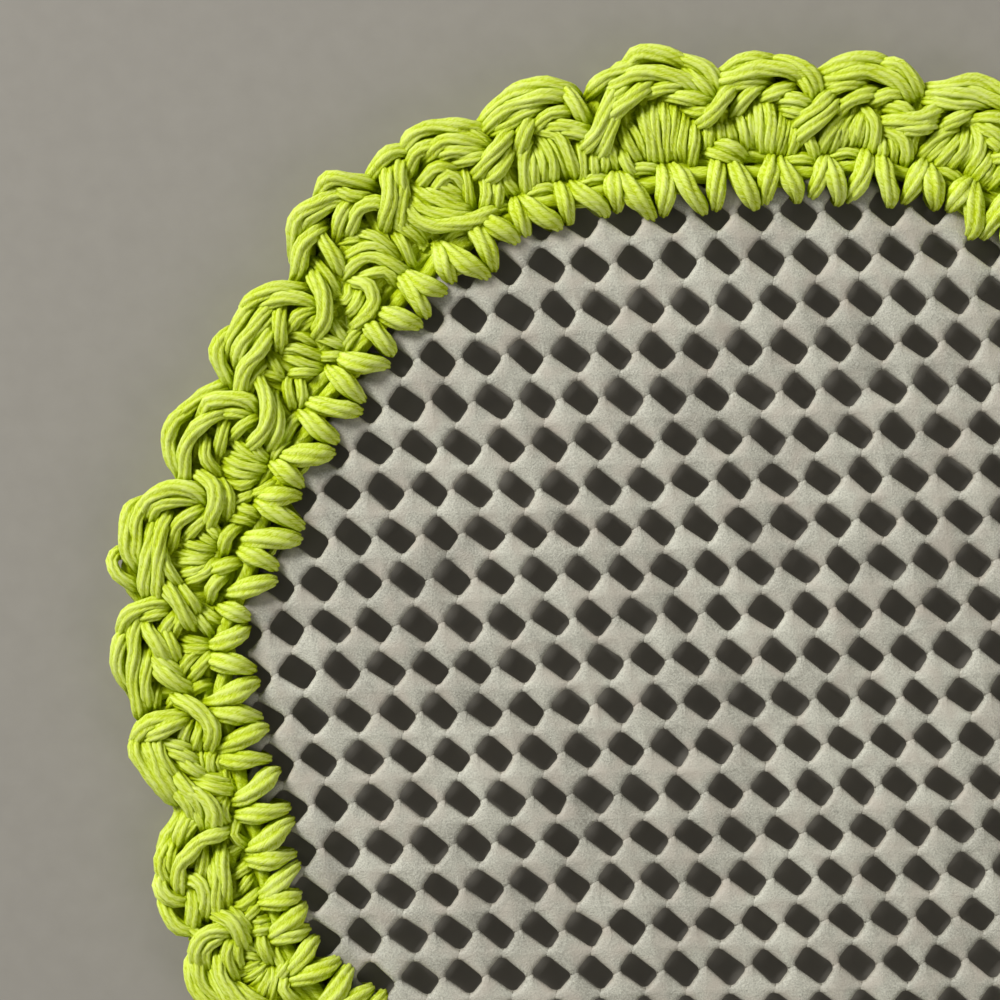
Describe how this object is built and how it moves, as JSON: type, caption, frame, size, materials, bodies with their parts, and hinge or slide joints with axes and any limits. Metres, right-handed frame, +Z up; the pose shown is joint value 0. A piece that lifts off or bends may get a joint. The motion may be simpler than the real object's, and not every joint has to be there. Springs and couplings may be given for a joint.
{
  "type": "jar gripper",
  "caption": "Flat round jar gripper: a disc of taupe foam-coated non-slip net with a lime-green crocheted cotton edging of upright stitches and small scallops.",
  "frame": {"origin": "middle of the gripper's outline, on the surface that it lies on", "axes": "+Z up out of the face that is gripped, +X to the right and +Y to the top of the picture"},
  "size_m": [0.1766, 0.1734, 0.0072],
  "materials": {
    "foam_net": "matte, slightly pebbled closed foam over a thread scrim",
    "cotton_yarn": "soft matte four-ply cotton yarn"
  },
  "bodies": {
    "root": {"grip_net": "foam_net", "crochet_edging": "cotton_yarn"}
  },
  "joints": []
}
